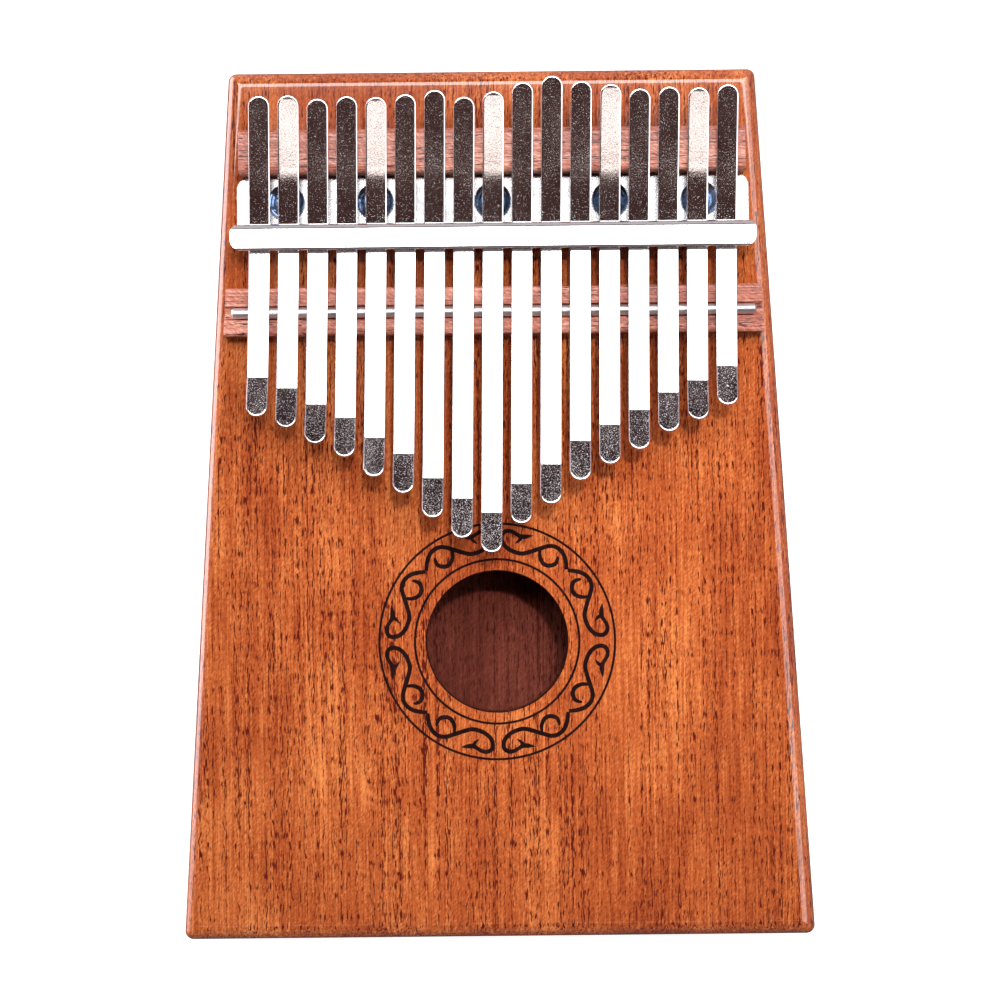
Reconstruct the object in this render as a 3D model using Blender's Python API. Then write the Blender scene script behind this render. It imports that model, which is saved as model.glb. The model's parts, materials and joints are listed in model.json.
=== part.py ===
"""A seventeen-tine thumb piano (mbira): hollow carved body, two bridges, pressure bracket and tines.

Metres, +Z up. The instrument lies on its back: +X is to its right, +Y points to its head end, where the
tails of the tines are, and +Z points out of its face. The origin is on the face it rests on, under the
middle of the body.
"""

from math import atan, cos, pi, radians, sin, sqrt, tan

import bmesh
import bpy
from mathutils import Vector

MM = 0.001
GAP = 0.3 * MM  # left between pieces that touch
PAST = 1 * MM  # how far a cutter reaches past what it cuts
TAU = 2 * pi

# Body: a tapered block, rounded all over, hollowed from behind
BODY_LENGTH = 185 * MM
TAIL_WIDTH = 134.9 * MM
HEAD_WIDTH = 112.4 * MM
BODY_TOP = 30 * MM
BODY_CORNER_RADIUS = 1.8 * MM
MITRE_RADIUS = 0.5 * MM  # what is left of a corner where the rounded edges meet
BODY_EDGE_RADIUS = 3.2 * MM
TOP_WALL = 5 * MM
SIDE_WALL = 8 * MM
CHAMBER_HEAD_Y = 30 * MM  # the head block stays solid beyond this, to take the screws
CHAMBER_CORNER_RADIUS = 6 * MM
SOUND_HOLE_RADIUS = 15.0 * MM
SOUND_HOLE_Y = -29.3 * MM

# Back plate
PLATE_THICKNESS = 4 * MM
PLATE_EDGE_RADIUS = 3 * MM
VIBRATO_HOLE_RADIUS = 5 * MM
VIBRATO_HOLE_X = 28 * MM
VIBRATO_HOLE_Y = -8 * MM

# Bridges, both with their tops at the height that the tines rest at
REST_HEIGHT = 7 * MM  # above the body's top
BACK_BRIDGE_HEAD_Y = 79.4 * MM
BACK_BRIDGE_LENGTH = 107 * MM
BRIDGE_ROUNDING = 1.6 * MM
FRONT_BRIDGE_TAIL_Y = 35.9 * MM
FRONT_BRIDGE_WIDTH = 10.1 * MM
FRONT_BRIDGE_HEIGHT = 6 * MM
FRONT_BRIDGE_INSET = 2.5 * MM  # from the body's sides
ROD_Y = 40.7 * MM
ROD_RADIUS = 1.15 * MM
ROD_LENGTH = 110.6 * MM

# Pressure bracket: one bent plate with a base, a slotted wall and a lip
PLATE_METAL = 1.5 * MM
BRACKET_BACK_Y = 69.6 * MM
BRACKET_WALL_Y = 58.5 * MM  # middle of the wall
BRACKET_LIP_Y = 53.6 * MM
BRACKET_BASE_LENGTH = 108.6 * MM
BRACKET_LIP_LENGTH = 110.4 * MM
BRACKET_TOP = 9.55 * MM  # above the body's top
BRACKET_CORNER_RADIUS = 2.4 * MM
BRACKET_FOOT_RADIUS = 0.6 * MM
LIP_NOSE_RADIUS = 0.6 * MM
LIP_INNER_RADIUS = 0.3 * MM
LIP_RISE = tan(radians(5))  # the lip is bent a little short of a right angle
SLOT_WIDTH = 5.0 * MM
SLOT_FLOOR = 4.6 * MM  # above the body's top

# Screws
SCREW_Y = 64.4 * MM
SCREW_XS = (-43.8 * MM, -24.9 * MM, 0, 24.9 * MM, 43.8 * MM)
SCREW_HEAD_RADIUS = 3.9 * MM
SCREW_HEAD_HEIGHT = 2.5 * MM
SCREW_SHANK_RADIUS = 1.75 * MM
SCREW_LENGTH = 13 * MM  # under the head
SCREW_POINT_RADIUS = 0.4 * MM
SCREW_POINT_LENGTH = 3 * MM
SCREW_RIM = 0.5 * MM  # height of the head's straight edge
SCREW_DOME = radians(75)
SCREW_FIRST_TURN = radians(45)
SCREW_NEXT_TURN = radians(17)  # each screw stopped a little further round than the one before
RECESS_REACH = 2.1 * MM
RECESS_WIDTH = 1.0 * MM
RECESS_DEPTH = 1.4 * MM

# Tines: flat spring steel strips, each bent by the bracket between the two bridges
TINE_COUNT = 17
TINE_PITCH = 6.15 * MM
TINE_WIDTH = 4.4 * MM
TINE_THICKNESS = 0.95 * MM
TINE_SKEW = radians(-0.8)  # the whole set leans a little in its slots
TINE_PRESS = 1.4 * MM  # how far the bracket presses each tine down
TIP_LENGTH = 8.3 * MM
TIP_UPTURN = radians(14)
TIP_BEND_LENGTH = 0.4 * MM
LONGEST_REED = 50.8 * MM  # seen from above, from the rod to the tip
END_CORRECTION = 3.8 * MM  # a reed sounds as if it were this much longer
# Semitones above the lowest note, from the left tine to the right one
NOTES = (26, 23, 19, 16, 12, 9, 5, 2, 0, 4, 7, 11, 14, 17, 21, 24, 28)
# Length of the cut strip, from the middle tine to the outermost pair
STRIP_LENGTHS = (96.5, 92.5, 89.7, 83.7, 79.6, 75.7, 72.4, 69.6, 67.3)
STEEP_TINES = (2, 5, 9, 13, 16)  # those over the screws, with their tails bent up a little more
STEEPER = radians(2.5)

# Where the bent strip passes, measured from the rod towards the head end
BAR_DISTANCE = BRACKET_WALL_Y - ROD_Y
REST_DISTANCE = BRACKET_BACK_Y + GAP + BRIDGE_ROUNDING - ROD_Y
BACK_SPAN = REST_DISTANCE - BAR_DISTANCE
STRIP_HEIGHT = BODY_TOP + REST_HEIGHT + GAP + TINE_THICKNESS / 2  # its middle, over either bridge


def clear_scene():
    for old in list(bpy.data.objects):
        bpy.data.objects.remove(old, do_unlink=True)


def make_material(name, colour, roughness, metallic):
    material = bpy.data.materials.new(name)
    material.use_nodes = True
    shader = material.node_tree.nodes["Principled BSDF"]
    shader.inputs["Base Color"].default_value = (*colour, 1)
    shader.inputs["Roughness"].default_value = roughness
    shader.inputs["Metallic"].default_value = metallic
    return material


def add_object(name, bm, material=None, smooth=False):
    """Turns a bmesh into a named object with its faces pointing out."""
    bmesh.ops.recalc_face_normals(bm, faces=bm.faces)
    mesh = bpy.data.meshes.new(name)
    bm.to_mesh(mesh)
    bm.free()
    if smooth:
        mesh.shade_smooth()
        mesh.set_sharp_from_angle(angle=radians(35))
    if material:
        mesh.materials.append(material)
    made = bpy.data.objects.new(name, mesh)
    bpy.context.scene.collection.objects.link(made)
    return made


def loft(rings):
    """A closed body through rings of the same number of points, with a flat face at each end."""
    bm = bmesh.new()
    loops = [[bm.verts.new(point) for point in ring] for ring in rings]
    for low, high in zip(loops, loops[1:]):
        for i, corner in enumerate(low):
            j = (i + 1) % len(low)
            bm.faces.new((corner, low[j], high[j], high[i]))
    bm.faces.new(loops[0])
    bm.faces.new(loops[-1])
    return bm


def arc(centre, radius, start, end, segments):
    """Points on an arc between two angles, both ends included."""
    steps = [start + (end - start) * i / segments for i in range(segments + 1)]
    return [(centre[0] + radius * cos(a), centre[1] + radius * sin(a)) for a in steps]


def rounded_outline(corners, radius, segments=5):
    """A counter-clockwise outline with every corner rounded to the same radius."""
    points = []
    for i, corner in enumerate(corners):
        here = Vector(corner)
        arriving = (here - Vector(corners[i - 1])).normalized()
        leaving = (Vector(corners[(i + 1) % len(corners)]) - here).normalized()
        into = Vector((-arriving.y, arriving.x))
        out_of = Vector((-leaving.y, leaving.x))
        centre = here + (into + out_of) * (radius / (1 + into.dot(out_of)))
        turn = into.angle_signed(out_of)
        first = Vector((-into.x, -into.y))
        for step in range(segments + 1):
            angle = -turn * step / segments
            x = first.x * cos(angle) - first.y * sin(angle)
            y = first.x * sin(angle) + first.y * cos(angle)
            points.append((centre.x + radius * x, centre.y + radius * y))
    return points


def at_height(outline, z):
    return [(x, y, z) for x, y in outline]


def half_width(y):
    """Half the body's width at a place along its length."""
    taper = (TAIL_WIDTH - HEAD_WIDTH) / 2 / BODY_LENGTH
    return (TAIL_WIDTH + HEAD_WIDTH) / 4 - taper * y


def tapered_corners(tail_y, head_y, inset):
    """Corners of a shape with sides parallel to the body's sides, counter-clockwise."""
    tail = half_width(tail_y) - inset
    head = half_width(head_y) - inset
    return [(-tail, tail_y), (tail, tail_y), (head, head_y), (-head, head_y)]


def body_outline(inset):
    """The body's outline, pulled in all round. Its corners stay just short of sharp."""
    end = BODY_LENGTH / 2 - inset
    radius = max(BODY_CORNER_RADIUS - inset, MITRE_RADIUS)
    return rounded_outline(tapered_corners(-end, end, inset), radius)


def rounded_over(radius, z_edge, towards, segments=5):
    """Rings of the body's outline over a rounded edge, from its side to its flat face."""
    rings = []
    for step in range(segments + 1):
        angle = pi / 2 * step / segments
        z = z_edge - towards * radius * (1 - sin(angle))
        rings.append(at_height(body_outline(radius * (1 - cos(angle))), z))
    return rings


def cylinder(radius, z_low, z_high, x=0, y=0, segments=32):
    circle = arc((x, y), radius, 0, TAU, segments)[:-1]
    return loft([at_height(circle, z_low), at_height(circle, z_high)])


def cut(target, name, bm):
    """Cuts a closed shape out of an object with a Boolean modifier."""
    cutter = add_object(f"cut_{name}", bm)
    cutter.hide_render = True
    cutter.display_type = "WIRE"
    boolean = target.modifiers.new(name, "BOOLEAN")
    boolean.operation = "DIFFERENCE"
    boolean.solver = "EXACT"
    boolean.object = cutter


def make_body_shell(wood):
    underside = PLATE_THICKNESS + GAP
    rings = [at_height(body_outline(0), underside)]
    rings += rounded_over(BODY_EDGE_RADIUS, BODY_TOP, 1)
    shell = add_object("body_shell", loft(rings), wood, smooth=True)

    tail_y = SIDE_WALL - BODY_LENGTH / 2
    chamber = rounded_outline(
        tapered_corners(tail_y, CHAMBER_HEAD_Y, SIDE_WALL), CHAMBER_CORNER_RADIUS
    )
    ceiling = BODY_TOP - TOP_WALL
    cut(shell, "chamber", loft([at_height(chamber, -PAST), at_height(chamber, ceiling)]))
    hole = cylinder(SOUND_HOLE_RADIUS, ceiling - PAST, BODY_TOP + PAST, y=SOUND_HOLE_Y, segments=56)
    cut(shell, "sound_hole", hole)
    pilot_depth = SCREW_LENGTH - PLATE_METAL
    for number, x in enumerate(SCREW_XS, 1):
        pilot = cylinder(
            SCREW_SHANK_RADIUS + GAP, BODY_TOP - pilot_depth, BODY_TOP + PAST, x, SCREW_Y, 12
        )
        cut(shell, f"pilot_{number}", pilot)


def make_back_plate(wood):
    rings = rounded_over(PLATE_EDGE_RADIUS, 0, -1)[::-1]
    rings.append(at_height(body_outline(0), PLATE_THICKNESS))
    plate = add_object("back_plate", loft(rings), wood, smooth=True)
    for name, side in (("left", -1), ("right", 1)):
        hole = cylinder(
            VIBRATO_HOLE_RADIUS, -PAST, PLATE_THICKNESS + PAST, side * VIBRATO_HOLE_X, VIBRATO_HOLE_Y
        )
        cut(plate, f"vibrato_hole_{name}", hole)


def along_x(profile, length):
    """A body with a constant outline in Y and Z, centred on X = 0."""
    ends = (-length / 2, length / 2)
    return loft([[(x, y, z) for y, z in profile] for x in ends])


def bridge_profile(tail_y, head_y, height, rounding):
    """A bridge seen from its end, as (y, z) points, with its upper edges rounded."""
    low = BODY_TOP + GAP
    edge_z = BODY_TOP + height - rounding
    points = [(tail_y, low), (head_y, low)]
    points += arc((head_y - rounding, edge_z), rounding, 0, pi / 2, 4)
    return points + arc((tail_y + rounding, edge_z), rounding, pi / 2, pi, 4)


def make_back_bridge(wood):
    profile = bridge_profile(
        BRACKET_BACK_Y + GAP, BACK_BRIDGE_HEAD_Y, REST_HEIGHT, BRIDGE_ROUNDING
    )
    add_object("back_bridge", along_x(profile, BACK_BRIDGE_LENGTH), wood, smooth=True)


def make_front_bridge(wood):
    """Its ends run parallel to the body's sides, and a groove along it holds the rod."""
    head_y = FRONT_BRIDGE_TAIL_Y + FRONT_BRIDGE_WIDTH
    profile = bridge_profile(
        FRONT_BRIDGE_TAIL_Y, head_y, FRONT_BRIDGE_HEIGHT, BRIDGE_ROUNDING / 2
    )
    ends = [
        [(side * (half_width(y) - FRONT_BRIDGE_INSET), y, z) for y, z in profile]
        for side in (-1, 1)
    ]
    bridge = add_object("front_bridge", loft(ends), wood, smooth=True)
    rod_z = BODY_TOP + REST_HEIGHT - ROD_RADIUS
    half = ROD_RADIUS + GAP
    groove = arc((ROD_Y, rod_z), half, pi, TAU, 10)
    mouth = [(ROD_Y + half, rod_z + half + PAST), (ROD_Y - half, rod_z + half + PAST)]
    cut(bridge, "rod_groove", along_x(groove + mouth, BODY_LENGTH))


def make_rod(steel):
    rod_z = BODY_TOP + REST_HEIGHT - ROD_RADIUS
    circle = arc((ROD_Y, rod_z), ROD_RADIUS, 0, TAU, 20)[:-1]
    add_object("bridge_rod", along_x(circle, ROD_LENGTH), steel, smooth=True)


def bracket_profile():
    """The bent plate seen from its end, as (y, z) points."""
    low = BODY_TOP + GAP
    floor = low + PLATE_METAL
    top = BODY_TOP + BRACKET_TOP
    under_lip = top - PLATE_METAL
    back_face = BRACKET_WALL_Y + PLATE_METAL / 2
    front_face = BRACKET_WALL_Y - PLATE_METAL / 2
    foot = BRACKET_FOOT_RADIUS
    nose = LIP_NOSE_RADIUS
    inner = LIP_INNER_RADIUS
    points = [(BRACKET_BACK_Y, low), (BRACKET_BACK_Y, floor)]
    points += arc((back_face + foot, floor + foot), foot, 1.5 * pi, pi, 3)
    points += arc((front_face, under_lip), PLATE_METAL, 0, pi / 2, 5)
    points += arc((BRACKET_LIP_Y + nose, top - nose), nose, pi / 2, pi, 3)
    points += arc((BRACKET_LIP_Y + nose, under_lip + nose), nose, pi, 1.5 * pi, 3)
    points += arc((front_face - inner, under_lip - inner), inner, pi / 2, 0, 2)
    points += arc((back_face, floor), PLATE_METAL, pi, 1.5 * pi, 4)
    return [(y, z + LIP_RISE * max(0, front_face - y)) for y, z in points]


def bracket_plan():
    """The bracket seen from above: a lip a little longer than the base, with rounded corners."""
    radius = BRACKET_CORNER_RADIUS
    lip = BRACKET_LIP_LENGTH / 2
    base = BRACKET_BASE_LENGTH / 2
    step_y = BRACKET_WALL_Y - PLATE_METAL / 2
    right = arc((lip - radius, BRACKET_LIP_Y + radius), radius, -pi / 2, 0, 5)
    right += [(lip, step_y), (base, step_y + PLATE_METAL)]
    right += arc((base - radius, BRACKET_BACK_Y - radius), radius, 0, pi / 2, 5)
    return right + [(-x, y) for x, y in reversed(right)]


def make_bracket(chrome):
    long_enough = BRACKET_LIP_LENGTH + 2 * PAST
    bracket = add_object("pressure_bracket", along_x(bracket_profile(), long_enough), chrome, True)
    plan = add_object(
        "bracket_plan", loft([at_height(bracket_plan(), z) for z in (BODY_TOP, 2 * BODY_TOP)])
    )
    plan.hide_render = True
    plan.display_type = "WIRE"
    trim = bracket.modifiers.new("plan", "BOOLEAN")
    trim.operation = "INTERSECT"
    trim.solver = "EXACT"
    trim.object = plan

    slot_top = STRIP_HEIGHT - TINE_PRESS + TINE_THICKNESS / 2 + GAP
    reach = PLATE_METAL
    for number in range(1, TINE_COUNT + 1):
        x = tine_x(number)
        corners = [
            (x - SLOT_WIDTH / 2, BRACKET_WALL_Y - reach),
            (x + SLOT_WIDTH / 2, BRACKET_WALL_Y - reach),
            (x + SLOT_WIDTH / 2, BRACKET_WALL_Y + reach),
            (x - SLOT_WIDTH / 2, BRACKET_WALL_Y + reach),
        ]
        slot = loft([at_height(corners, BODY_TOP + SLOT_FLOOR), at_height(corners, slot_top)])
        cut(bracket, f"slot_{number:02d}", slot)
    for number, x in enumerate(SCREW_XS, 1):
        hole = cylinder(
            SCREW_SHANK_RADIUS + GAP, BODY_TOP - PAST, BODY_TOP + 2 * PLATE_METAL, x, SCREW_Y, 16
        )
        cut(bracket, f"screw_hole_{number}", hole)


def recess_outline(scale):
    """The cross of a Phillips recess."""
    reach = RECESS_REACH * scale
    half = RECESS_WIDTH / 2 * scale
    arm = [(reach, -half), (reach, half), (half, half)]
    turned = []
    for quarter in range(4):
        angle = quarter * pi / 2
        turned += [(x * cos(angle) - y * sin(angle), x * sin(angle) + y * cos(angle)) for x, y in arm]
    return turned


def make_screws(zinc):
    """Pan-head wood screws, each with its origin where its head meets the bracket."""
    sides = 20
    radii_and_heights = [
        (SCREW_POINT_RADIUS, -SCREW_LENGTH),
        (SCREW_SHANK_RADIUS, SCREW_POINT_LENGTH - SCREW_LENGTH),
        (SCREW_SHANK_RADIUS, 0),
        (SCREW_HEAD_RADIUS, 0),
    ]
    for step in range(5):
        angle = SCREW_DOME * step / 4
        radius = SCREW_HEAD_RADIUS * cos(angle)
        height = SCREW_RIM + (SCREW_HEAD_HEIGHT - SCREW_RIM) * sin(angle) / sin(SCREW_DOME)
        radii_and_heights.append((radius, height))
    rings = [at_height(arc((0, 0), r, 0, TAU, sides)[:-1], z) for r, z in radii_and_heights]
    seat = BODY_TOP + GAP + PLATE_METAL + GAP
    for number, x in enumerate(SCREW_XS, 1):
        screw = add_object(f"bracket_screw_{number}", loft(rings), zinc, smooth=True)
        screw.location = (x, SCREW_Y, seat)
        recess = loft(
            [
                at_height(recess_outline(0.5), SCREW_HEAD_HEIGHT - RECESS_DEPTH),
                at_height(recess_outline(1), SCREW_HEAD_HEIGHT + GAP),
            ]
        )
        cut(screw, f"recess_{number}", recess)
        cutter = bpy.data.objects[f"cut_recess_{number}"]
        cutter.location = screw.location
        angle = SCREW_FIRST_TURN + SCREW_NEXT_TURN * number
        cutter.rotation_euler.z = angle
        screw.rotation_euler.z = angle


def tine_x(number):
    """Where a tine crosses the bracket's wall, numbered from 1 at the left."""
    return (number - (TINE_COUNT + 1) / 2) * TINE_PITCH


def reed_length(number):
    """Free length from the rod to the tip: pitch rises with the inverse square of the length."""
    frequency_ratio = 2 ** (NOTES[number - 1] / 12)
    return (LONGEST_REED + END_CORRECTION) / sqrt(frequency_ratio) - END_CORRECTION


def tail_length(number):
    """Length from the rod to the tail end: what is left of the cut strip."""
    from_middle = abs(number - (TINE_COUNT + 1) // 2)
    return STRIP_LENGTHS[from_middle] * MM - reed_length(number)


def pressed_down(distance):
    """How far the strip's middle lies under its height over the bridges: a beam bent at one point."""
    span = REST_DISTANCE
    if distance <= BAR_DISTANCE:
        rise = distance * (span**2 - BACK_SPAN**2 - distance**2)
        return TINE_PRESS * rise / (2 * BACK_SPAN * BAR_DISTANCE**2)
    left = span - distance
    rise = left * (span**2 - BAR_DISTANCE**2 - left**2)
    return TINE_PRESS * rise / (2 * BAR_DISTANCE * BACK_SPAN**2)


REED_SLOPE = atan(
    TINE_PRESS * (REST_DISTANCE**2 - BACK_SPAN**2) / (2 * BACK_SPAN * BAR_DISTANCE**2)
)
TAIL_SLOPE = atan(
    TINE_PRESS * (REST_DISTANCE**2 - BAR_DISTANCE**2) / (2 * BAR_DISTANCE * BACK_SPAN**2)
)


def tail_height(distance, steeper):
    """Height of the strip's middle behind the rod, relative to its middle over the rod."""
    past_rest = max(0, distance - REST_DISTANCE)
    share = min(max(0, (distance - BAR_DISTANCE) / BACK_SPAN), 1)  # of the way from bar to bridge
    bent = tan(steeper) * (BACK_SPAN * (share**3 - share**2) + past_rest)
    if past_rest:
        return past_rest * tan(TAIL_SLOPE) + bent
    return bent - pressed_down(distance)


def tail_line(distance, steeper):
    """(height, slope) of the strip behind the rod."""
    step = 0.01 * MM
    rise = tail_height(distance + step, steeper) - tail_height(distance - step, steeper)
    return tail_height(distance, steeper), atan(rise / (2 * step))


def reed_line(distance, crease):
    """(height, slope) of the strip in front of the rod: straight, then upturned past the crease."""
    past = max(0, distance - crease)
    height = (distance - past) * tan(REED_SLOPE) + past * tan(REED_SLOPE + TIP_UPTURN)
    return height, REED_SLOPE + (TIP_UPTURN if past else 0)


def strip_rings(stations):
    """Rectangular sections across a strip. A station is (y, z, slope, half width)."""
    rings = []
    for y, z, slope, half in stations:
        up_y = -sin(slope) * TINE_THICKNESS / 2
        up_z = cos(slope) * TINE_THICKNESS / 2
        low = (y - up_y, z - up_z)
        high = (y + up_y, z + up_z)
        rings.append([(-half, *low), (half, *low), (half, *high), (-half, *high)])
    return rings


def rounded_end(length):
    """(distance, half width) over a strip's semicircular end, out to its tip."""
    radius = TINE_WIDTH / 2
    angles = [pi / 2 * step / 5 for step in range(5)]
    return [(length - radius * (1 - sin(a)), radius * cos(a)) for a in angles]


def tail_rings(length, steeper):
    """The part of a tine behind the rod, which the bracket clamps."""
    bends = [GAP / 2] + [REST_DISTANCE * step / 12 for step in range(1, 13)]
    widths = [(distance, TINE_WIDTH / 2) for distance in bends] + rounded_end(length)
    stations = []
    for distance, half in widths:
        z, slope = tail_line(distance, steeper)
        stations.append((distance, z, slope, half))
    return strip_rings(stations)


def reed_rings(length):
    """The free part of a tine in front of the rod."""
    crease = length - TIP_LENGTH
    widths = [(GAP / 2, TINE_WIDTH / 2), (crease, TINE_WIDTH / 2)]
    widths += [(crease + TIP_BEND_LENGTH, TINE_WIDTH / 2)] + rounded_end(length)
    stations = []
    for distance, half in widths:
        z, slope = reed_line(distance, crease)
        stations.append((-distance, z, -slope, half))
    return strip_rings(stations)


def make_tines(steel):
    """Each tine turns on an empty where it bears on the rod, and its two parts hang from it."""
    for number in range(1, TINE_COUNT + 1):
        pivot = bpy.data.objects.new(f"tine_{number:02d}_pivot", None)
        pivot.location = (tine_x(number) + BAR_DISTANCE * tan(TINE_SKEW), ROD_Y, STRIP_HEIGHT)
        pivot.rotation_euler.z = TINE_SKEW
        bpy.context.scene.collection.objects.link(pivot)
        steeper = STEEPER if number in STEEP_TINES else 0
        parts = {
            "tail": tail_rings(tail_length(number), steeper),
            "reed": reed_rings(reed_length(number)),
        }
        for part, rings in parts.items():
            strip = add_object(f"tine_{number:02d}_{part}", loft(rings), steel)
            strip.parent = pivot


def main():
    clear_scene()
    body_wood = make_material("body_wood", (0.48, 0.11, 0.028), 0.35, 0)
    bridge_wood = make_material("bridge_wood", (0.42, 0.17, 0.11), 0.45, 0)
    chrome = make_material("bracket_chrome", (0.85, 0.85, 0.86), 0.12, 1)
    zinc = make_material("screw_zinc", (0.32, 0.42, 0.58), 0.25, 1)
    rod_steel = make_material("rod_steel", (0.78, 0.77, 0.76), 0.2, 1)
    tine_steel = make_material("tine_steel", (0.66, 0.64, 0.64), 0.25, 1)
    make_body_shell(body_wood)
    make_back_plate(body_wood)
    make_back_bridge(bridge_wood)
    make_front_bridge(bridge_wood)
    make_rod(rod_steel)
    make_bracket(chrome)
    make_screws(zinc)
    make_tines(tine_steel)


main()
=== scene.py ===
"""Looks of a seventeen-tine thumb piano (mbira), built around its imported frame.

Metres, +Z up, in the frame's own axes: +X is to the instrument's right, +Y points to its head end, where
the tails of the tines are, and +Z points out of its face. It lies on its back on a pale floor.
"""

import json
from collections import namedtuple
from math import atan, cos, pi, radians, sin, tan

import bmesh
import bpy
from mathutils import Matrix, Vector


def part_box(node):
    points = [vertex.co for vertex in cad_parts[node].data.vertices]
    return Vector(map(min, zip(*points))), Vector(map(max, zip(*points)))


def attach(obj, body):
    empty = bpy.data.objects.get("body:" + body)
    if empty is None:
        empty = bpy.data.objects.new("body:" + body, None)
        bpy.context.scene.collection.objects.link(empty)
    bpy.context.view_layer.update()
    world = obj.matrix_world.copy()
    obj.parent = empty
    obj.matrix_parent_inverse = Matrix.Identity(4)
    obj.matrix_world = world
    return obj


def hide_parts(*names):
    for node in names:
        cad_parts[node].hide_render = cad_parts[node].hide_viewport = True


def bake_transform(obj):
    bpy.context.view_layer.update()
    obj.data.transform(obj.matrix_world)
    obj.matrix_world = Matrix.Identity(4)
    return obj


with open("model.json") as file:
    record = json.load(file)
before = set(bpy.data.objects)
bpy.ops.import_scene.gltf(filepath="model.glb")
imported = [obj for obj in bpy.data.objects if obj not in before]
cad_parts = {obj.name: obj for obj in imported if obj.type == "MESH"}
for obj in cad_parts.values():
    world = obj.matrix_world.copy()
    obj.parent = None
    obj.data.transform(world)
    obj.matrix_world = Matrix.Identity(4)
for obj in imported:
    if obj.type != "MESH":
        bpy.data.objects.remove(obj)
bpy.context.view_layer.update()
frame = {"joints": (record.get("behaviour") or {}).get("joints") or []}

MM = 0.001
TAU = 2 * pi
PAST = MM  # how far a cutter reaches past the face it cuts
NORMAL_WEIGHT = 80  # how far a smooth normal follows the larger faces beside it
JOINTS = {joint["name"]: joint for joint in frame["joints"]}

# The body, from its box; its head width, wall and holes are the CAD model's own values
SHELL_LOW, SHELL_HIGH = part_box("body_shell")
PLATE_LOW, PLATE_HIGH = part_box("back_plate")
BODY_END = SHELL_HIGH.y
BODY_TOP = SHELL_HIGH.z
TAIL_WIDTH = 134.9 * MM
HEAD_WIDTH = 112.4 * MM
BODY_CORNER_RADIUS = 1.8 * MM
MITRE_RADIUS = 0.5 * MM  # what is left of a corner where the rounded edges meet
BODY_EDGE_RADIUS = 3.2 * MM
PLATE_EDGE_RADIUS = 3.0 * MM
SEAM_CHAMFER = 0.25 * MM
TOP_WALL = 5 * MM
SIDE_WALL = 8 * MM
CHAMBER_HEAD_Y = 30 * MM
CHAMBER_CORNER_RADIUS = 6 * MM
SOUND_HOLE_RADIUS = 15.0 * MM
SOUND_HOLE_Y = -29.3 * MM
SOUND_HOLE_SIDES = 128
HOLE_CHAMFER = 0.2 * MM
SCORCHED_DEPTH = 3 * HOLE_CHAMFER  # below the face
VIBRATO_HOLE_RADIUS = 5 * MM
VIBRATO_HOLE_X = 28 * MM
VIBRATO_HOLE_Y = -8 * MM
PILOT_RADIUS = 2.05 * MM
PILOT_DEPTH = 11.5 * MM
RAW_AND_SHADE_INDEX, BURNT_INDEX = 1, 2  # materials of the body's inner faces (raw wood darkened with painted shade) and of its hole's rim

# Bridges and rod
FRONT_BRIDGE_LOW, FRONT_BRIDGE_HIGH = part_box("front_bridge")
BACK_BRIDGE_LOW, BACK_BRIDGE_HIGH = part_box("back_bridge")
ROD_LOW, ROD_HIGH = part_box("bridge_rod")
FRONT_BRIDGE_INSET = 2.5 * MM
BRIDGE_ROUNDING = 1.6 * MM
BRIDGE_BROKEN_EDGE = 0.25 * MM
ROD_RADIUS = (ROD_HIGH.z - ROD_LOW.z) / 2
ROD_Y = (ROD_LOW.y + ROD_HIGH.y) / 2
ROD_Z = (ROD_LOW.z + ROD_HIGH.z) / 2
ROD_GROOVE_RADIUS = ROD_RADIUS + 0.3 * MM
ROD_CHAMFER = 0.3 * MM

# Pressure bracket
BRACKET_LOW, BRACKET_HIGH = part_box("pressure_bracket")
PLATE_METAL = 1.5 * MM
BRACKET_WALL_Y = 58.5 * MM
BRACKET_BASE_LENGTH = 108.6 * MM
BRACKET_CORNER_RADIUS = 2.4 * MM
BRACKET_TOP = BODY_TOP + 9.55 * MM
BRACKET_FOOT_RADIUS = 0.6 * MM
BRACKET_BROKEN_EDGE = 0.12 * MM
LIP_NOSE_RADIUS = 0.6 * MM
LIP_INNER_RADIUS = 0.3 * MM
LIP_RISE = tan(radians(5))  # the lip is bent a little short of a right angle
SLOT_WIDTH = 5.0 * MM
SLOT_LOW_Z = 34.6 * MM
SLOT_HIGH_Z = 37.15 * MM

# Screws
SCREW_COUNT = 5
SCREW_HEAD_HEIGHT = 2.5 * MM
SCREW_HEAD_RADIUS = 3.9 * MM
SCREW_HEAD_EDGE = 0.15 * MM
SCREW_RIM = 0.45 * MM  # the head's straight side
SCREW_DOME = radians(84)
SCREW_DOME_POWER = 0.75  # less than 1, so the dome is fuller than a round one
SCREW_SHANK_RADIUS = 1.75 * MM
SCREW_POINT_RADII = (0.1 * MM, 0.7 * SCREW_SHANK_RADIUS)  # at its tip, and where the thread starts
SCREW_POINT_LENGTH = 3 * MM
THREAD_PITCH = 1.25 * MM
THREAD_ROOT_RADIUS = 0.68 * SCREW_SHANK_RADIUS
SCREW_NECK_RADIUS = 0.8 * SCREW_SHANK_RADIUS
SCREW_HOLE_RADIUS = 2.05 * MM
RECESS_REACH = 2.1 * MM
RECESS_WIDTH = 1.0 * MM
RECESS_DEPTH = 1.4 * MM
RECESS_MOUTH = SCREW_HEAD_HEIGHT + 0.1 * MM  # the height at which the cross has its full size
RECESS_FLOOR_SCALE = 0.5
RECESS_FIRST_TURN = radians(45)
RECESS_NEXT_TURN = radians(17)  # from each screw to the next

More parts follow.
